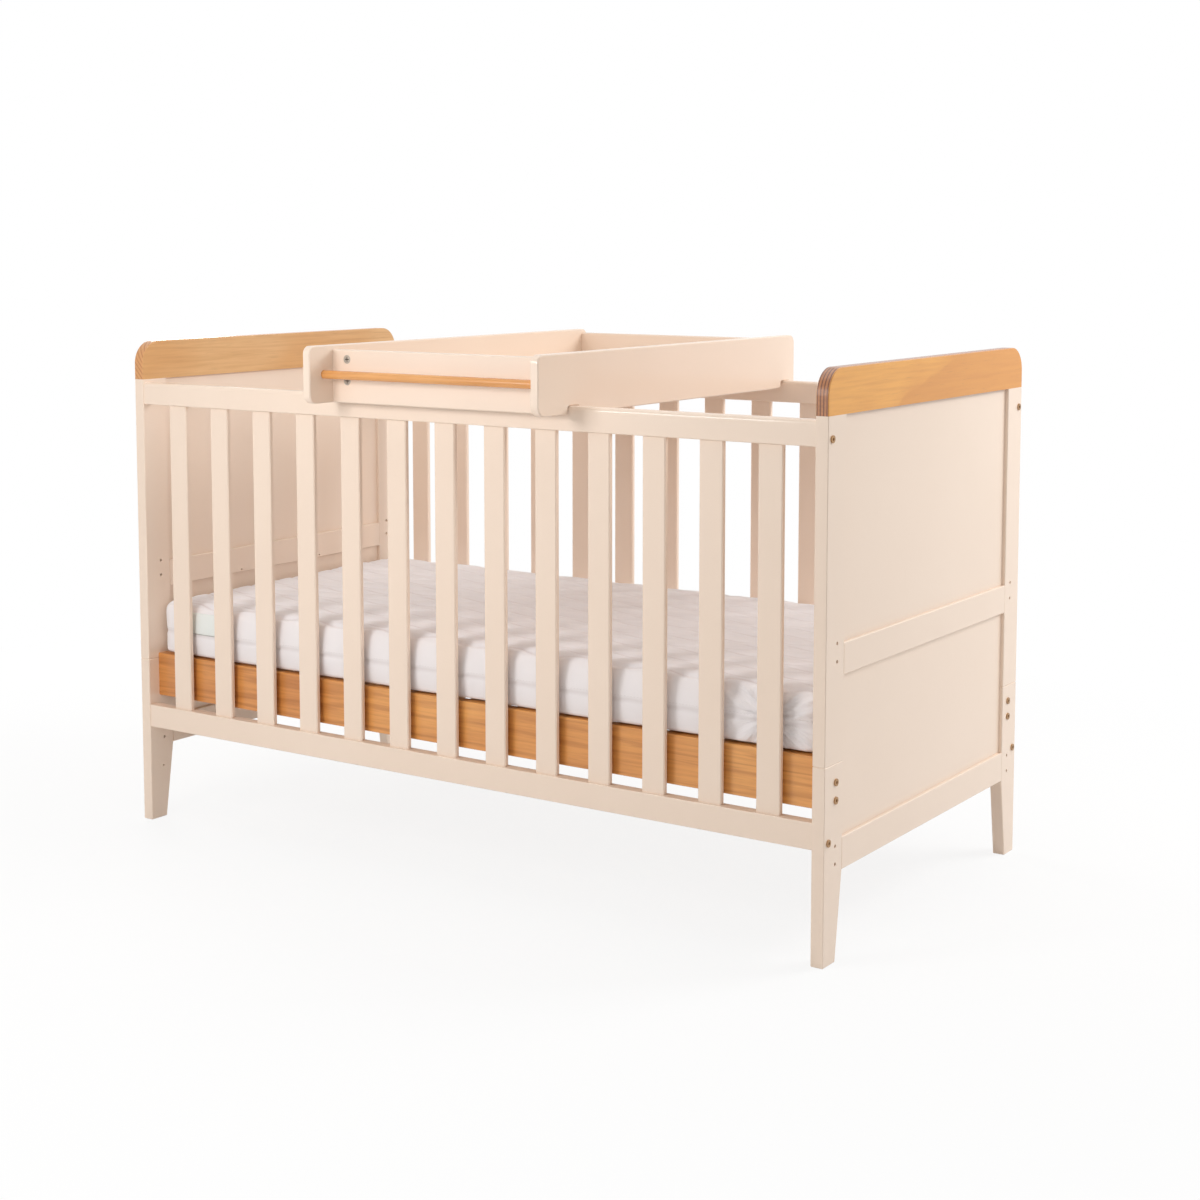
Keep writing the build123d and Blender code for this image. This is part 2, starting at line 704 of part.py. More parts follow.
# Cam locks, each with a cross recess in its face
with BuildPart() as cam_locks:
    for _, face, inward in cross_boards:
        lock_spots = [
            (inner_x - end_sign * cam_inset, height)
            for (_, end_sign), inner_x in zip(ends, changer_inner_ends)
            for height in cam_heights
        ]
        with BuildSketch(Plane.XZ.offset(-face)) as locks:
            with Locations(*lock_spots):
                Circle(cam_radius)
        extrude(locks.sketch, amount=-inward * cam_depth)
        with BuildSketch(Plane.XZ.offset(-face)) as crosses:
            with Locations(*lock_spots):
                Rectangle(cam_cross_length, cam_cross_width)
                Rectangle(cam_cross_width, cam_cross_length)
        extrude(crosses.sketch, amount=-inward * cam_cross_depth, mode=Mode.SUBTRACT)
save(cam_locks, "cam_locks")

# Cam pins, screwed into the side boards and reaching to the cam locks
with BuildPart() as cam_pins:
    for (_, end_sign), inner_x in zip(ends, changer_inner_ends):
        pin_spots = [
            (face + inward * board_thickness / 2, height)
            for _, face, inward in cross_boards
            for height in cam_heights
        ]
        with BuildSketch(Plane.YZ.offset(inner_x + end_sign * pin_thread_length)):
            with Locations(*pin_spots):
                Circle(pin_radius)
        extrude(amount=-end_sign * (pin_thread_length + cam_inset - cam_radius - pin_end_gap))
save(cam_pins, "cam_pins")
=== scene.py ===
import math

import bpy
import numpy as np
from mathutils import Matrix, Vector, noise
from mathutils.bvhtree import BVHTree


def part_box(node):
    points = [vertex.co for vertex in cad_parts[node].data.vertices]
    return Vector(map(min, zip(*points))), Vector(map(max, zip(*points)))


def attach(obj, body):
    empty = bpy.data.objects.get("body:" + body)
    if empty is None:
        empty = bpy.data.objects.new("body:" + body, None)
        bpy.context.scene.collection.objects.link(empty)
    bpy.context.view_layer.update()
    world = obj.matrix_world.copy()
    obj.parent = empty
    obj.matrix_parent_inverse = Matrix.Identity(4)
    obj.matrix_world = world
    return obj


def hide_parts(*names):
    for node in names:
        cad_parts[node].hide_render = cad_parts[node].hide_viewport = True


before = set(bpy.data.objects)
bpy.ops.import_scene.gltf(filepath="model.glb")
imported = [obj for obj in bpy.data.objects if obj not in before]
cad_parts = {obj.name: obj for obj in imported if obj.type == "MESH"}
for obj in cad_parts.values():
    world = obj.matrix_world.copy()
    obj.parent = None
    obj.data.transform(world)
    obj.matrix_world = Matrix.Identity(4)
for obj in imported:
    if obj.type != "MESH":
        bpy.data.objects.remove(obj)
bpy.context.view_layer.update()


# Painted wood: the legs, posts, end panels, rails, slats and changer boards are planed
# hardwood and board, sprayed with a satin cream paint that leaves a faint orange peel.
def new_material(name):
    """An empty node material with its shader and output joined."""
    material = bpy.data.materials.new(name)
    material.use_nodes = True
    tree = material.node_tree
    tree.nodes.clear()
    output = tree.nodes.new("ShaderNodeOutputMaterial")
    shader = tree.nodes.new("ShaderNodeBsdfPrincipled")
    tree.links.new(shader.outputs["BSDF"], output.inputs["Surface"])
    return material, tree, shader


def feed(tree, node, inputs):
    """Set each input of a node, found by its name or number, to a value, or join it to a socket."""
    for key, value in inputs.items():
        if isinstance(value, bpy.types.NodeSocket):
            tree.links.new(value, node.inputs[key])
        else:
            node.inputs[key].default_value = value


def add_node(tree, kind, inputs=None, **settings):
    """A new node with its settings made and its inputs fed."""
    made = tree.nodes.new(kind)
    for key, value in settings.items():
        setattr(made, key, value)
    feed(tree, made, inputs or {})
    return made


def object_place(tree, scale=(1, 1, 1)):
    """Places on the object, in metres, scaled."""
    coordinates = add_node(tree, "ShaderNodeTexCoord")
    mapping = {"Vector": coordinates.outputs["Object"], "Scale": scale}
    return add_node(tree, "ShaderNodeMapping", mapping).outputs["Vector"]


def mottle(tree, place, scale, detail=3.0, roughness=0.5):
    """Soft random mottling."""
    return add_node(tree, "ShaderNodeTexNoise", {
        "Vector": place, "Scale": scale, "Detail": detail, "Roughness": roughness,
    }).outputs["Fac"]


def spread(tree, value, low, high, from_low=0.0, from_high=1.0):
    """Map a value from one range to another, held at both ends."""
    return add_node(tree, "ShaderNodeMapRange", {
        "Value": value, "From Min": from_low, "From Max": from_high, "To Min": low, "To Max": high,
    }, clamp=True).outputs["Result"]


def mix_colours(tree, factor, first, second, blend="MIX"):
    """Blend two colours, each given as numbers or as a socket."""
    first, second = [
        colour if isinstance(colour, bpy.types.NodeSocket) else (*colour, 1.0)
        for colour in (first, second)
    ]
    mixed = add_node(
        tree, "ShaderNodeMix", {0: factor}, data_type="RGBA", blend_type=blend
    )
    feed(tree, mixed, {6: first, 7: second})
    return mixed.outputs[2]


def calculate(tree, operation, *values):
    """One step of arithmetic on sockets or numbers."""
    made = add_node(tree, "ShaderNodeMath", dict(enumerate(values)), operation=operation)
    return made.outputs[0]


def bump(tree, shader, height, strength, distance):
    """Raise the surface's shading by a height."""
    relief = {"Height": height, "Strength": strength, "Distance": distance}
    raised = add_node(tree, "ShaderNodeBump", relief)
    feed(tree, shader, {"Normal": raised.outputs["Normal"]})


def give(material, *nodes):
    """Put a material on CAD nodes."""
    for name in nodes:
        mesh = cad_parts[name].data
        mesh.materials.clear()
        mesh.materials.append(material)


paint, tree, shader = new_material("cream_paint")
place = object_place(tree)
broad = mottle(tree, place, 5.0, 2.0)
fine = mottle(tree, place, 420.0, 2.0)
brushed = mottle(tree, object_place(tree, (1.0, 1.0, 0.12)), 160.0, 2.0)
cream = mix_colours(tree, broad, (0.884, 0.714, 0.583), (0.912, 0.753, 0.627))
cream = mix_colours(tree, spread(tree, fine, 0.0, 0.05, 0.45, 0.8), cream, (0.70, 0.56, 0.44))
feed(tree, shader, {
    "Base Color": cream, "Roughness": spread(tree, broad, 0.36, 0.46),
    "IOR": 1.48, "Coat Weight": 0.5, "Coat Roughness": 0.12,
})
peel = calculate(tree, "ADD", fine, calculate(tree, "MULTIPLY", brushed, 0.6))
bump(tree, shader, peel, 0.12, 0.0006)
for side in ("front", "rear"):
    give(paint, *[f"{piece}_{side}_{end}" for piece in ("leg", "post") for end in ("left", "right")])
    give(paint, f"{side}_top_rail", f"{side}_bottom_rail")
for end in ("left", "right"):
    give(paint, f"mid_rail_{end}", f"bottom_rail_{end}", f"upper_panel_{end}", f"lower_panel_{end}")
    give(paint, f"changer_{end}_board")
give(paint, *[f"front_slat_{number:02d}" for number in range(1, 14)], "rear_slats")
give(paint, "changer_front_board", "changer_back_board", "changer_floor")


# Natural wood: the caps are glued from layers, so their narrow faces show stripes, and stand on dowels
# over the ends. The base's rails and slats are solid wood, bolted and screwed together. All have a
# clear satin lacquer over figure lines, fibres, pores and broad patches.
grain_stretch = 0.035
ring_gap = 0.024
ring_bend = 34.0
heart_blur = 0.03


def split_axes(tree, vector):
    """The X, Y and Z parts of a vector."""
    return add_node(tree, "ShaderNodeSeparateXYZ", {0: vector}).outputs


def lacquered_wood(
    name, along, pale, mid, dark, figure, patch, edge=None, heart=None, drift=None, gloss=0.3
):
    """Lacquered wood with its grain along an axis.

    Figure and patch are the strengths of the dark lines and of the broad patches, and gloss is the
    lowest roughness. Edge gives the two colours, the lean and the width of the glued layers, which
    show on narrow faces. Heart gives the start and the lean of a part that is all one patch, and
    drift the start, the end and the tint of a slow change along the grain.
    """
    material, tree, shader = new_material(name)

    def stretched(along_grain, across_grain):
        """Places scaled by one number along the grain and by another across it."""
        scale = [along_grain if axis == along else across_grain for axis in "XYZ"]
        return object_place(tree, scale)

    place = stretched(grain_stretch, 1.0)
    axes = split_axes(tree, object_place(tree))
    level = calculate(tree, "MULTIPLY", axes["Y" if along == "X" else "X"], 0.7)
    across = calculate(tree, "ADD", axes["Z"], level)
    wander = mottle(tree, stretched(1.0, 14.0), 1.0, 3.0, 0.55)
    bend = calculate(tree, "MULTIPLY", wander, ring_bend)
    phase = calculate(tree, "MULTIPLY_ADD", across, 2 * math.pi / ring_gap, bend)
    rings = spread(tree, calculate(tree, "SINE", phase), 0.0, 1.0, 0.25, 1.0)
    depth = spread(tree, mottle(tree, place, 12.0, 2.0), 0.35, 1.0, 0.4, 0.6)
    rings = calculate(tree, "MULTIPLY", rings, depth)
    fibres = mottle(tree, place, 190.0, 4.0, 0.62)
    pores = spread(tree, mottle(tree, place, 640.0, 2.0), 0.0, 0.25, 0.64, 0.76)
    cloud = mottle(tree, stretched(0.5 + grain_stretch * 0.5, 1.0), 7.0, 1.5)
    patches = spread(tree, cloud, 0.0, 1.0, 0.44, 0.60)
    if heart:
        start, lean = heart
        slanted = calculate(tree, "MULTIPLY_ADD", axes["Z"], lean, axes["Y"])
        uneven = mottle(tree, object_place(tree), 9.0, 2.0)
        slanted = calculate(tree, "MULTIPLY_ADD", uneven, 0.12, slanted)
        inside = spread(tree, slanted, 0.0, 1.0, start, start + heart_blur)
        patches = calculate(tree, "MAXIMUM", patches, inside)
    colour = mix_colours(tree, calculate(tree, "MULTIPLY", patches, patch), pale, mid)
    colour = mix_colours(tree, calculate(tree, "MULTIPLY", rings, figure), colour, dark)
    colour = mix_colours(tree, spread(tree, fibres, 0.0, 0.45, 0.42, 0.75), colour, dark)
    colour = mix_colours(tree, pores, colour, [part * 0.45 for part in dark])
    if drift:
        start, end, tint = drift
        nearer = spread(tree, axes[along], 1.0, 0.0, start, end)
        colour = mix_colours(tree, nearer, colour, tint, "MULTIPLY")
    if edge:
        pale_layer, dark_layer, lean, layer = edge
        facing = split_axes(tree, add_node(tree, "ShaderNodeTexCoord").outputs["Normal"])
        narrow = spread(tree, calculate(tree, "ABSOLUTE", facing["X"]), 1.0, 0.0, 0.55, 0.8)
        sunk = calculate(tree, "ADD", axes["X"], calculate(tree, "MULTIPLY", axes["Z"], lean))
        layers = calculate(tree, "SINE", calculate(tree, "MULTIPLY", sunk, 2 * math.pi / layer))
        layers = spread(tree, layers, 0.0, 1.0, 0.2, 0.8)
        striped = mix_colours(tree, layers, pale_layer, dark_layer)
        worn = spread(tree, fibres, 0.0, 0.35, 0.4, 0.7)
        striped = mix_colours(tree, worn, striped, dark_layer)
        colour = mix_colours(tree, narrow, colour, striped)
    feed(tree, shader, {
        "Base Color": colour, "Roughness": spread(tree, fibres, gloss, gloss + 0.1),
        "Coat Weight": 0.35, "Coat Roughness": 0.2,
    })
    height = calculate(tree, "SUBTRACT", fibres, calculate(tree, "MULTIPLY", pores, 1.6))
    bump(tree, shader, height, 0.2, 0.0004)
    return material


left_cap_wood = lacquered_wood(
    "left_cap_wood", "Y", (0.76, 0.455, 0.205), (0.69, 0.36, 0.13), (0.53, 0.25, 0.08), 0.30, 0.8,
    edge=((0.70, 0.345, 0.13), (0.53, 0.22, 0.072), 0.9, 0.0095),
)
right_cap_wood = lacquered_wood(
    "right_cap_wood", "Y", (0.87, 0.40, 0.052), (0.715, 0.285, 0.026), (0.62, 0.225, 0.022), 0.14,
    0.9, edge=((0.52, 0.21, 0.085), (0.16, 0.055, 0.022), 0.0, 0.0056), heart=(-2.70, -3.1),
)
base_wood = lacquered_wood(
    "base_wood", "X", (0.83, 0.395, 0.115), (0.66, 0.25, 0.054), (0.40, 0.125, 0.024), 0.36, 0.45,
    drift=(-0.5, 0.0, (0.86, 0.76, 0.68)),
)
slat_wood = lacquered_wood(
    "slat_wood", "Y", (0.80, 0.58, 0.36), (0.74, 0.50, 0.28), (0.55, 0.33, 0.16), 0.4, 0.6,
    gloss=0.5,
)
give(left_cap_wood, "cap_left")
give(right_cap_wood, "cap_right")
give(base_wood, "front_base_rail", "rear_base_rail", "front_ledger", "rear_ledger")
give(slat_wood, "base_slats")


# Fittings: brass-plated bolts with hex sockets, and zinc-plated barrel nuts, cam locks, pins and
# screws, all faintly scored. The dowels hidden in the joints are plain lacquered wood, and so is the
# towel rail, a longer one that turns loosely in its two holes.
# Painted shade for the cam locks' cross recesses: its colour, and the depths behind the face over which
# it fades in.
painted_recess_shade = (0.10, 0.09, 0.08)
recess_behind = (0.0009, 0.0004)


def plated_metal(name, colour, roughness):
    """Plated metal with fine random scoring."""
    material, tree, shader = new_material(name)
    scoring = mottle(tree, object_place(tree), 900.0, 4.0, 0.7)
    wear = spread(tree, mottle(tree, object_place(tree), 130.0, 2.0), 0.0, 0.6, 0.35, 0.7)
    feed(tree, shader, {
        "Base Color": mix_colours(tree, wear, colour, [part * 0.72 for part in colour]),
        "Roughness": spread(tree, scoring, roughness - 0.08, roughness + 0.12),
        "Metallic": 1.0,
    })
    bump(tree, shader, scoring, 0.15, 0.0002)
    return material


def cam_metal(colour, middle, face_reach):
    """Bright zinc with painted shade in the cross recess, which lies behind the faces at a reach from
    the middle.
    """
    material, tree, shader = new_material("cam_zinc")
    wear = mottle(tree, object_place(tree), 260.0, 3.0)
    face = mix_colours(tree, wear, colour, [part * 0.85 for part in colour])
    reach = calculate(tree, "SUBTRACT", split_axes(tree, object_place(tree))["Y"], middle)
    recess_ends = [face_reach - behind for behind in recess_behind]
    # Painted shade: what lies deeper behind the face than the recess depths is coloured dark, as shade
    # in the cross recess.
    shaded_recess = spread(tree, calculate(tree, "ABSOLUTE", reach), 1.0, 0.0, *recess_ends)
    feed(tree, shader, {
        "Base Color": mix_colours(tree, shaded_recess, face, painted_recess_shade),
        "Roughness": spread(tree, wear, 0.28, 0.42),
        "Metallic": 1.0,
    })
    bump(tree, shader, wear, 0.15, 0.0002)
    return material


cam_low, cam_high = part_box("cam_locks")
cams = cam_metal((0.56, 0.53, 0.48), (cam_low.y + cam_high.y) / 2, (cam_high.y - cam_low.y) / 2)
brass = plated_metal("brass_plate", (0.46, 0.275, 0.135), 0.28)
zinc = plated_metal("zinc_plate", (0.60, 0.60, 0.62), 0.34)
dowel_wood = lacquered_wood(
    "dowel_wood", "X", (0.82, 0.40, 0.13), (0.74, 0.32, 0.085), (0.54, 0.21, 0.05), 0.3, 0.7,
    gloss=0.2,
)
give(brass, "side_bolts", "base_bolts")
give(zinc, "side_barrel_nuts", "base_barrel_nuts", "cam_pins")
give(cams, "cam_locks")
give(dowel_wood, "leg_dowels", "cap_dowels", "side_dowels", "towel_rail")


# Slat screws: each base slat is held on both ledgers by one countersunk steel screw with a cross
# recess, turned to a random angle. They are set out by Geometry Nodes.
def new_object(name, data):
    """A new object, put in the scene."""
    made = bpy.data.objects.new(name, data)
    bpy.context.scene.collection.objects.link(made)
    return made


def finished_mesh(thing):
    """The mesh that an object's modifiers make."""
    graph = bpy.context.evaluated_depsgraph_get()
    return bpy.data.meshes.new_from_object(thing.evaluated_get(graph))


def new_tree(name, *inputs):
    """An empty Geometry Nodes tree with named inputs, each given as a name, a kind and a value."""
    tree = bpy.data.node_groups.new(name, "GeometryNodeTree")
    tree.interface.new_socket("Geometry", in_out="OUTPUT", socket_type="NodeSocketGeometry")
    for label, kind, value in inputs:
        socket = tree.interface.new_socket(label, in_out="INPUT", socket_type="NodeSocket" + kind)
        if value is not None:
            socket.default_value = value
    return tree, tree.nodes.new("NodeGroupInput").outputs


def end_tree(tree, instances, material):
    """End a tree: make its instances real, coat them with a material and give them out."""
    real = add_node(tree, "GeometryNodeRealizeInstances", {0: instances})
    coating = {"Geometry": real.outputs[0], "Material": material}
    coated = add_node(tree, "GeometryNodeSetMaterial", coating)
    add_node(tree, "NodeGroupOutput", {0: coated.outputs[0]})


def made_by_nodes(name, tree, values):
    """Run a tree with its inputs set, and keep the result as one plain mesh."""
    starter = new_object(name + "_start", bpy.data.meshes.new(name + "_start"))
    modifier = starter.modifiers.new(name, "NODES")
    modifier.node_group = tree
    for socket in tree.interface.items_tree:
        if socket.in_out == "INPUT" and socket.name in values:
            modifier[socket.identifier] = values[socket.name]
    mesh = finished_mesh(starter)
    starter.modifiers.clear()
    bpy.data.objects.remove(starter)
    return new_object(name, mesh)


slat_low, slat_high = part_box("base_slats")
ledger_low, ledger_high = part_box("front_ledger")
slat_width = 0.060
slat_count = 14
head_radius = 0.0036
head_height = 0.0009
head_proud = 0.0002
head_sides = 20
cross_length = 0.0042
cross_width = 0.0009
cross_lift = 0.82

tree, given = new_tree(
    "screw_rows", ("Row Length", "Float", 1.0), ("Row Gap", "Float", 0.6),
    ("Count", "Int", slat_count), ("Middle", "Vector", None),
    ("Head Radius", "Float", head_radius), ("Head Height", "Float", head_height),
    ("Cross Length", "Float", cross_length), ("Cross Width", "Float", cross_width),
    ("Seed", "Int", 7),
)
spots = add_node(tree, "GeometryNodeMeshGrid", {
    "Size X": given["Row Length"], "Size Y": given["Row Gap"],
    "Vertices X": given["Count"], "Vertices Y": 2,
})
moved = add_node(tree, "GeometryNodeTransform", {
    "Geometry": spots.outputs["Mesh"], "Translation": given["Middle"],
})
head = add_node(tree, "GeometryNodeMeshCylinder", {
    "Vertices": head_sides, "Radius": given["Head Radius"], "Depth": given["Head Height"],
}, fill_type="NGON")
bars = add_node(tree, "GeometryNodeJoinGeometry")
for first, second in (("Cross Length", "Cross Width"), ("Cross Width", "Cross Length")):
    size = {"X": given[first], "Y": given[second], "Z": given["Head Height"]}
    size = add_node(tree, "ShaderNodeCombineXYZ", size)
    bar = add_node(tree, "GeometryNodeMeshCube", {"Size": size.outputs[0]})
    tree.links.new(bar.outputs["Mesh"], bars.inputs[0])
lift = calculate(tree, "MULTIPLY", given["Head Height"], cross_lift)
lift = add_node(tree, "ShaderNodeCombineXYZ", {"Z": lift})
raised = add_node(tree, "GeometryNodeTransform", {
    "Geometry": bars.outputs[0], "Translation": lift.outputs[0],
})
cut = add_node(tree, "GeometryNodeMeshBoolean", {
    "Mesh 1": head.outputs["Mesh"], "Mesh 2": raised.outputs[0], "Self Intersection": True,
}, operation="DIFFERENCE", solver="EXACT")
turn = add_node(
    tree, "FunctionNodeRandomValue", {3: math.pi, "Seed": given["Seed"]}, data_type="FLOAT"
)
angle = add_node(tree, "ShaderNodeCombineXYZ", {"Z": turn.outputs[1]})
placed = add_node(tree, "GeometryNodeInstanceOnPoints", {
    "Points": moved.outputs[0], "Instance": cut.outputs["Mesh"], "Rotation": angle.outputs[0],
})
end_tree(tree, placed.outputs[0], zinc)

slat_screws = made_by_nodes("slat_screws", tree, {
    "Row Length": slat_high.x - slat_low.x - slat_width,
    "Row Gap": (slat_low.y + slat_high.y) - (ledger_low.y + ledger_high.y),
    "Middle": (
        (slat_low.x + slat_high.x) / 2, (slat_low.y + slat_high.y) / 2,
        slat_high.z + head_proud - head_height / 2,
    ),
})
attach(slat_screws, "bed")


# Mattress: foam in a zipped cotton cover, which lies loose on the base. The top is quilted in rows of
# opposed waves, the sides are plain and joined by one seam, and the right end is crumpled round one
# point, with a little of the same at the left end.
mattress_low, mattress_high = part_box("mattress")
mattress_middle = (mattress_low + mattress_high) / 2
mattress_half = (mattress_high - mattress_low) / 2
row_pitch = 0.030
wave_height = 0.0085
wave_length = 0.150
quilt_depth = 0.0040
quilt_width = 0.0062
seam_height = 0.044
seam_depth = 0.0020
seam_width = 0.0035
swell_height = 0.0022
corner_round = 0.022
top_round = 0.022
bottom_round = 0.007
cover_slack = Vector((0.002, 0.003, 0.002))
cover_cells = (0.0128, 0.0082, 0.0068)
held_beside = 0.004
held_layer = 0.012
puff_limit = 0.005
puff_steps = 20
fold_point = (0.625, -0.001)
crease_height = 0.0078
crumple_right = (0.50, 0.10, 1.0)
crumple_left = (0.64, 0.06, 0.2)


def padded_block(name, half, plan_round, top_round, bottom_round, cells):
    """A closed block of even cells on the origin, with its own rounding in plan, above and below."""
    counts = [max(2, round(2 * size / cell)) for size, cell in zip(half, cells)]
    number_of = {}
    points = []

    def corner(*steps):
        """The number of the point at these steps, which is made when it is first asked for."""
        if steps in number_of:
            return number_of[steps]
        place = Vector([
            size * (2 * step / count - 1) for size, step, count in zip(half, steps, counts)
        ])
        edge_round = top_round if place.z > 0 else bottom_round
        limits = (half.x - plan_round, half.y - plan_round, half.z - edge_round)
        core = Vector([max(-limit, min(limit, value)) for limit, value in zip(limits, place)])
        level = Vector((place.x - core.x, place.y - core.y, 0))
        kept = plan_round - edge_round
        if level.length > kept:
            outward = level.normalized()
            share = (level.length - kept) / edge_round
            rise = Vector((0, 0, (place.z - core.z) / edge_round))
            place = core + outward * kept + (outward * share + rise).normalized() * edge_round
        number_of[steps] = len(points)
        points.append(place)
        return number_of[steps]

    faces = []
    for axis in range(3):
        first, second = [other for other in range(3) if other != axis]
        for end in (0, counts[axis]):
            outward = (end > 0) == (axis != 1)
            for a in range(counts[first]):
                for b in range(counts[second]):
                    ring = []
                    for step_a, step_b in ((0, 0), (1, 0), (1, 1), (0, 1)):
                        steps = [0, 0, 0]
                        steps[axis], steps[first], steps[second] = end, a + step_a, b + step_b
                        ring.append(corner(*steps))
                    faces.append(ring if outward else ring[::-1])
    mesh = bpy.data.meshes.new(name)
    mesh.from_pydata(points, [], faces)
    return new_object(name, mesh)


def read_points(mesh, what="co"):
    """The places of a mesh's points, or their normals, as rows of three."""
    flat = np.empty(len(mesh.vertices) * 3)
    mesh.vertices.foreach_get(what, flat)
    return flat.reshape(-1, 3)


def write_points(mesh, points):
    """Put changed places back on a mesh."""
    mesh.vertices.foreach_set("co", np.ascontiguousarray(points).ravel())
    mesh.update()


def quilt_gap(x, y):
    """Distance to the nearest quilted row, where neighbouring rows wave in opposite ways."""
    wave = wave_height * np.sin(2 * math.pi * x / wave_length)
    even = (y - wave) / (2 * row_pitch)
    odd = (y + wave) / (2 * row_pitch) + 0.5
    return np.minimum(np.abs(even - np.round(even)), np.abs(odd - np.round(odd))) * 2 * row_pitch


def puffed_cover(half):
    """The cover before its quilting: a slightly small block, puffed by the simulation.

    The underside and the quilted rows are held, and nothing moves further than the puff limit.
    """
    block = padded_block(
        "mattress_cover", half - cover_slack, corner_round, top_round, bottom_round, cover_cells
    )
    start = read_points(block.data)
    underside = start[:, 2] < -half.z + held_layer
    quilted = quilt_gap(start[:, 0], start[:, 1]) < held_beside
    quilted &= start[:, 2] > half.z - held_layer
    held = block.vertex_groups.new(name="held")
    held.add([int(number) for number in np.nonzero(underside | quilted)[0]], 1.0, "ADD")
    cloth = block.modifiers.new("cloth", "CLOTH")
    cloth.settings.quality = 5
    cloth.settings.use_pressure = True
    cloth.settings.uniform_pressure_force = 4.0
    cloth.settings.vertex_group_mass = "held"
    cloth.settings.effector_weights.gravity = 0.0
    cloth.settings.tension_stiffness = 12.0
    cloth.settings.bending_stiffness = 1.5
    cloth.collision_settings.use_collision = False
    cloth.point_cache.frame_start, cloth.point_cache.frame_end = 1, puff_steps
    for step in range(1, puff_steps + 1):
        bpy.context.scene.frame_set(step)
    puffed = finished_mesh(block)
    moved = read_points(puffed) - start
    lengths = np.linalg.norm(moved, axis=1, keepdims=True)
    moved *= np.minimum(1.0, puff_limit / np.maximum(lengths, 1e-9))
    block.modifiers.clear()
    bpy.data.meshes.remove(puffed)
    write_points(block.data, start + moved)
    bpy.context.scene.frame_set(1)
    block.vertex_groups.clear()
    return block


def crumpled_from(distance, start, run, most):
    """How crumpled the cover is, from nothing at the start to the most after the run."""
    return np.clip((distance - start) / run, 0, 1) * most


cover = puffed_cover(mattress_half)
smooth = cover.modifiers.new("smooth", "SUBSURF")
smooth.levels = smooth.render_levels = 1
finer = finished_mesh(cover)
cover.modifiers.clear()
cover.data = finer
points = read_points(finer)
normals = read_points(finer, "normal")
x, y, z = points.T
steep = np.abs(normals[:, 2])
up = np.clip((normals[:, 2] - 0.55) / 0.35, 0, 1)
side = np.clip(1 - steep * 1.6, 0, 1)
sunk = np.exp(-((quilt_gap(x, y) / quilt_width) ** 2)) * up
seam = np.exp(-(((z + mattress_half.z - seam_height) / seam_width) ** 2)) * side
swell = np.array([noise.noise(Vector((px * 7, py * 7, pz * 9))) for px, py, pz in points])
turned = np.arctan2(z - fold_point[1], x - fold_point[0])
reach = np.hypot(z - fold_point[1], x - fold_point[0])
crease = np.array([
    noise.noise(Vector((3.4 * math.cos(angle), 3.4 * math.sin(angle) + 3.0 * py, 9.0 * away)))
    for angle, away, py in zip(turned, reach, y)
])
crease = 1 - 2 * np.abs(crease) ** 0.8
crumpled = crumpled_from(x, *crumple_right) + crumpled_from(-x, *crumple_left)
crumpled *= np.clip(1.3 - steep * 1.3, 0, 1)
change = -quilt_depth * sunk + swell_height * (swell - 0.2)
change += crease_height * crumpled * (crease - 0.5)
change -= seam_depth * seam
points += normals * change[:, None]
limit = np.array(mattress_half) + 0.002
points = np.clip(points, -limit, limit)
points[:, 2] = np.maximum(points[:, 2], -mattress_half.z)
write_points(finer, points + np.array(mattress_middle))
for name, values in (("top", up), ("seam", seam), ("crumpled", crumpled)):
    finer.attributes.new(name, "FLOAT", "POINT").data.foreach_set("value", values)
finer.shade_smooth()


def calculate_vector(tree, operation, *vectors):
    """One step of arithmetic on vectors."""
    made = add_node(tree, "ShaderNodeVectorMath", dict(enumerate(vectors)), operation=operation)
    return made.outputs[0]


# The quilted grooves' painted shade and puckering reach this far from each row.
groove_width = 0.0044
stitch_length = 0.0042
thread_ends = (0.0003, 0.0013)

cotton, tree, shader = new_material("mattress_cover")
place = object_place(tree)
top, sewn, crumple = [
    add_node(tree, "ShaderNodeAttribute", attribute_name=name).outputs["Fac"]
    for name in ("top", "seam", "crumpled")
]
axes = split_axes(tree, place)
wave = calculate(tree, "MULTIPLY", axes["X"], 2 * math.pi / wave_length)
wave = calculate(tree, "MULTIPLY", calculate(tree, "SINE", wave), wave_height)
row_y = calculate(tree, "SUBTRACT", axes["Y"], mattress_middle.y)
even = calculate(tree, "MULTIPLY", calculate(tree, "SUBTRACT", row_y, wave), 0.5 / row_pitch)
odd = calculate(tree, "ADD", row_y, wave)
odd = calculate(tree, "MULTIPLY_ADD", odd, 0.5 / row_pitch, 0.5)
even_gap, odd_gap = [calculate(tree, "PINGPONG", row, 0.5) for row in (even, odd)]
gap = calculate(tree, "MINIMUM", even_gap, odd_gap)
gap = calculate(tree, "MULTIPLY", gap, 2 * row_pitch)
groove = calculate(tree, "MULTIPLY", spread(tree, gap, 1.0, 0.0, 0.0, groove_width), top)
dashes = calculate(tree, "MULTIPLY", axes["X"], 2 * math.pi / stitch_length)
dashes = spread(tree, calculate(tree, "SINE", dashes), 0.3, 1.0)
stitched = calculate(tree, "MULTIPLY", spread(tree, gap, 1.0, 0.0, *thread_ends), top)
stitched = calculate(tree, "MULTIPLY", stitched, dashes)
weave = add_node(tree, "ShaderNodeTexVoronoi", {"Vector": place, "Scale": 1100.0})
weave = weave.outputs["Distance"]
tone = mottle(tree, place, 14.0, 3.0)
side_white = mix_colours(tree, tone, (0.915, 0.875, 0.885), (0.945, 0.910, 0.925))
top_white = mix_colours(tree, tone, (0.915, 0.895, 0.935), (0.940, 0.925, 0.955))
white = mix_colours(tree, top, side_white, top_white)
white = mix_colours(tree, spread(tree, weave, 0.0, 0.08), white, (0.62, 0.56, 0.56))
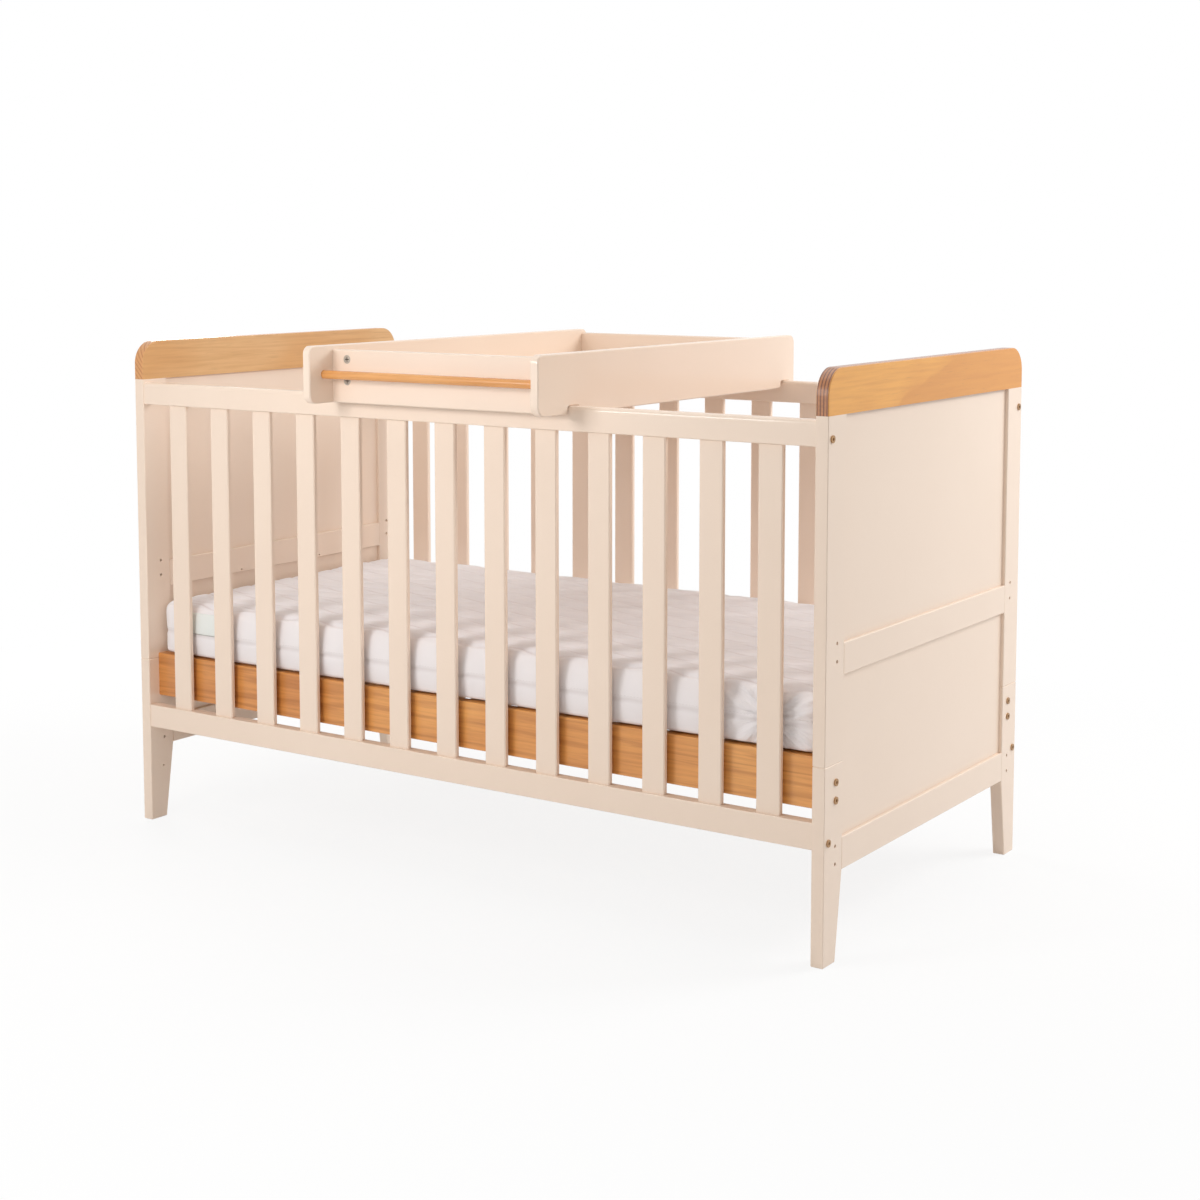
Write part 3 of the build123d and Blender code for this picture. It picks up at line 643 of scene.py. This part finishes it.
# Painted shade darkens the quilted grooves, beyond the shading their sunk shape gives. The stitched
# dashes along the rows and the band along the seam are darker too.
for mask, share, shade in (
    (groove, 0.50, (0.68, 0.60, 0.61)),
    (stitched, 0.25, (0.55, 0.44, 0.42)),
    (sewn, 0.22, (0.50, 0.42, 0.40)),
):
    white = mix_colours(tree, calculate(tree, "MULTIPLY", mask, share), white, shade)
feed(tree, shader, {
    "Base Color": white, "Roughness": 0.9, "Specular IOR Level": 0.2,
    "Sheen Weight": 0.25, "Sheen Roughness": 0.5,
})
pucker = mottle(tree, object_place(tree, (1.0, 0.3, 0.5)), 260.0, 3.0)
gathered = calculate(tree, "MULTIPLY_ADD", groove, 1.4, 0.35)
pucker = calculate(tree, "MULTIPLY", pucker, gathered)
fold_middle = (mattress_middle.x + fold_point[0], 0.0, mattress_middle.z + fold_point[1])
from_fold = calculate_vector(tree, "SUBTRACT", place, fold_middle)
from_fold = calculate_vector(tree, "MULTIPLY", from_fold, (1.0, 0.0, 1.0))
heading = calculate_vector(tree, "NORMALIZE", from_fold)
heading = calculate_vector(tree, "MULTIPLY_ADD", from_fold, (3.0, 3.0, 3.0), heading)
folds = calculate(tree, "SUBTRACT", mottle(tree, heading, 4.2, 2.0), 0.5)
folds = calculate(tree, "MULTIPLY", calculate(tree, "ABSOLUTE", folds), crumple)
folds = calculate(tree, "MULTIPLY", folds, 19.0)
relief = calculate(tree, "ADD", calculate(tree, "MULTIPLY", weave, 0.5), pucker)
relief = calculate(tree, "ADD", relief, folds)
relief = calculate(tree, "SUBTRACT", relief, calculate(tree, "MULTIPLY", stitched, 0.8))
bump(tree, shader, relief, 0.4, 0.0014)
finer.materials.clear()
finer.materials.append(cotton)
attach(cover, "mattress")
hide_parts("mattress")


# Seam stitches: the cover's upper and lower halves are joined by a sewn seam all round, topstitched
# above it in cotton thread. Geometry Nodes set the stitches along a path and lay them on the cover.
stitch_pitch = 0.0062
stitch_size = (0.0009, 0.0009, 0.0042)
above_seam = 0.007
bend_steps = 8

thread, tree, shader = new_material("cotton_thread")
twist = mottle(tree, object_place(tree), 2600.0, 2.0)
feed(tree, shader, {
    "Base Color": mix_colours(tree, twist, (0.74, 0.69, 0.69), (0.86, 0.82, 0.83)),
    "Roughness": 0.75, "Sheen Weight": 0.2,
})
bump(tree, shader, twist, 0.3, 0.0002)

tree, given = new_tree(
    "stitches_round_a_pad", ("Length", "Float", 1.4), ("Width", "Float", 0.7),
    ("Corner", "Float", 0.03), ("Middle", "Vector", None), ("Pitch", "Float", stitch_pitch),
    ("Stitch Size", "Vector", None), ("Pad", "Object", None),
)
outline = add_node(tree, "GeometryNodeCurvePrimitiveQuadrilateral", {
    "Width": given["Length"], "Height": given["Width"],
})
rounded = add_node(tree, "GeometryNodeFilletCurve", {
    "Curve": outline.outputs[0], "Radius": given["Corner"], "Count": bend_steps,
}, mode="POLY")
steps = add_node(tree, "GeometryNodeCurveToPoints", {
    "Curve": rounded.outputs[0], "Length": given["Pitch"],
}, mode="LENGTH")
level = add_node(tree, "GeometryNodeTransform", {
    "Geometry": steps.outputs["Points"], "Translation": given["Middle"],
})
pad = add_node(tree, "GeometryNodeObjectInfo", {"Object": given["Pad"]})
nearest = add_node(
    tree, "GeometryNodeProximity", {0: pad.outputs["Geometry"]}, target_element="FACES"
)
laid = add_node(tree, "GeometryNodeSetPosition", {
    "Geometry": level.outputs[0], "Position": nearest.outputs["Position"],
})
stitch = add_node(tree, "GeometryNodeMeshIcoSphere", {"Radius": 0.5, "Subdivisions": 1})
along_seam = add_node(
    tree, "FunctionNodeAlignRotationToVector", {"Vector": steps.outputs["Tangent"]}, axis="Z"
)
sewn_on = add_node(tree, "GeometryNodeInstanceOnPoints", {
    "Points": laid.outputs[0], "Instance": stitch.outputs["Mesh"],
    "Rotation": along_seam.outputs[0], "Scale": given["Stitch Size"],
})
end_tree(tree, sewn_on.outputs[0], thread)

stitches = made_by_nodes("seam_stitches", tree, {
    "Length": 2 * mattress_half.x, "Width": 2 * mattress_half.y, "Corner": corner_round,
    "Middle": (mattress_middle.x, mattress_middle.y, mattress_low.z + seam_height + above_seam),
    "Stitch Size": stitch_size, "Pad": cover,
})
stitches.data.shade_smooth()
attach(stitches, "mattress")


# Zip flap: a blank strip of paler cotton, sewn to the front of the cover near its left end, over the
# end of the zip, and darker along its bottom edge. It is laid on the cover's own surface, found by
# looking from the front.
flap_half = Vector((0.046, 0.0010, 0.0202))
flap_middle = Vector((-0.599, mattress_low.y, 0.3898))
flap_sunk = 0.0002
flap_round = 0.0006
flap_cells = (0.0040, 0.0010, 0.0034)
look_from = 0.05
bottom_band_height = 0.0010

flap = padded_block("zip_flap", flap_half, flap_round, flap_round, flap_round, flap_cells)
surface = BVHTree.FromObject(cover, bpy.context.evaluated_depsgraph_get())
laid = read_points(flap.data) + np.array(flap_middle)
for point in laid:
    eye = Vector((point[0], mattress_low.y - look_from, point[2]))
    met = surface.ray_cast(eye, Vector((0, 1, 0)))[0]
    point[1] += met.y - mattress_low.y - flap_sunk
write_points(flap.data, laid)
flap.data.shade_smooth()

flap_cotton, tree, shader = new_material("flap_cotton")
place = object_place(tree)
weave = add_node(tree, "ShaderNodeTexVoronoi", {"Vector": place, "Scale": 1300.0})
weave = weave.outputs["Distance"]
pale = mix_colours(tree, mottle(tree, place, 60.0, 2.0), (0.840, 0.875, 0.850), (0.870, 0.895, 0.875))
pale = mix_colours(tree, spread(tree, weave, 0.0, 0.1), pale, (0.60, 0.62, 0.58))
# The flap is darker along its bottom edge.
flap_bottom = flap_middle.z - flap_half.z
bottom_band_ends = (flap_bottom + bottom_band_height, flap_bottom + 1.6 * bottom_band_height)
dark_bottom_band = spread(tree, split_axes(tree, place)["Z"], 0.7, 0.0, *bottom_band_ends)
feed(tree, shader, {
    "Base Color": mix_colours(tree, dark_bottom_band, pale, (0.36, 0.35, 0.32)),
    "Roughness": 0.85, "Specular IOR Level": 0.25,
})
bump(tree, shader, weave, 0.3, 0.0006)
flap.data.materials.append(flap_cotton)
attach(flap, "mattress")


# Studio: a pale floor that runs into a white surround, a small key lamp in front of the left half, two
# broad lamps further in front, one above and one behind each end, and the camera where the photograph
# was taken from.
full_white = (1, 1, 1, 1)
floor_reach = 30.0


def any_seen_ray(tree):
    """1 for rays of the camera, reflections and refractions, which all show the white surround."""
    rays = add_node(tree, "ShaderNodeLightPath").outputs
    seen = calculate(tree, "MAXIMUM", rays["Is Camera Ray"], rays["Is Glossy Ray"])
    return calculate(tree, "MAXIMUM", seen, rays["Is Transmission Ray"])


floor_mesh = bpy.data.meshes.new("floor")
floor_mesh.from_pydata([
    (across * floor_reach, away * floor_reach, 0)
    for across, away in ((-1, -1), (1, -1), (1, 1), (-1, 1))
], [], [(0, 1, 2, 3)])
floor = new_object("floor", floor_mesh)
floor_white, tree, shader = new_material("floor_white")
feed(tree, shader, {
    "Base Color": (0.88, 0.88, 0.88, 1), "Roughness": 0.9, "Specular IOR Level": 0.0,
})
from_middle = add_node(
    tree, "ShaderNodeVectorMath", {0: object_place(tree, (0.8, 1.0, 1.0))}, operation="LENGTH"
)
whiteness = spread(tree, from_middle.outputs["Value"], 0.86, 1.0, 0.7, 1.9)
glow = add_node(tree, "ShaderNodeEmission", {"Color": full_white, "Strength": 1.0})
mixed = add_node(tree, "ShaderNodeMixShader", {
    0: calculate(tree, "MULTIPLY", any_seen_ray(tree), whiteness),
    1: shader.outputs[0], 2: glow.outputs[0],
})
output = next(made for made in tree.nodes if made.type == "OUTPUT_MATERIAL")
feed(tree, output, {"Surface": mixed.outputs[0]})
floor_mesh.materials.append(floor_white)

world = bpy.data.worlds.new("studio")
world.use_nodes = True
tree = world.node_tree
tree.nodes.clear()
ambient = {"Color": (1.0, 0.965, 0.915, 1), "Strength": 0.415}
ambient = add_node(tree, "ShaderNodeBackground", ambient)
shown = add_node(tree, "ShaderNodeBackground", {"Color": full_white, "Strength": 1.0})
mixed = add_node(tree, "ShaderNodeMixShader", {
    0: any_seen_ray(tree), 1: ambient.outputs[0], 2: shown.outputs[0],
})
add_node(tree, "ShaderNodeOutputWorld", {"Surface": mixed.outputs[0]})
bpy.context.scene.world = world

for name, place, aim, size, power in (
    ("key_lamp", (-0.35, -1.6, 1.2), (0.1, -0.3, 0.5), 0.5, 8.3),
    ("front_lamp", (-1.5, -3.5, 1.5), (0.0, 0.0, 0.5), 2.0, 9.0),
    ("fill_lamp", (1.4, -3.6, 1.6), (0.0, 0.0, 0.5), 2.0, 5.0),
    ("top_lamp", (0.0, 0.0, 3.0), (0.0, 0.0, 0.5), 2.5, 18.0),
    ("right_lamp", (2.0, 1.6, 2.0), (0.5, 0.0, 0.5), 1.1, 41.0),
    ("left_lamp", (-2.9, 1.2, 1.1), (-0.7, 0.0, 0.5), 1.3, 34.0),
):
    lamp = bpy.data.lights.new(name, "AREA")
    lamp.shape = "SQUARE"
    lamp.size = size
    lamp.energy = power
    holder = new_object(name, lamp)
    holder.location = place
    holder.rotation_euler = (Vector(aim) - Vector(place)).to_track_quat("-Z", "Y").to_euler()
    holder.visible_camera = False

looks_down = 5.5223
looks_left = 33.9718
camera = bpy.data.cameras.new("camera")
camera.sensor_width = 36.0
camera.lens = 61.17
camera.shift_x = 0.00125
camera.shift_y = -0.1362
camera.clip_start = 0.05
camera.clip_end = 100.0
viewer = new_object("camera", camera)
viewer.location = (2.1494, -3.0511, 1.1157)
viewer.rotation_euler = (math.radians(90 - looks_down), 0, math.radians(looks_left))
bpy.context.scene.camera = viewer
bpy.context.scene.view_settings.view_transform = "Standard"
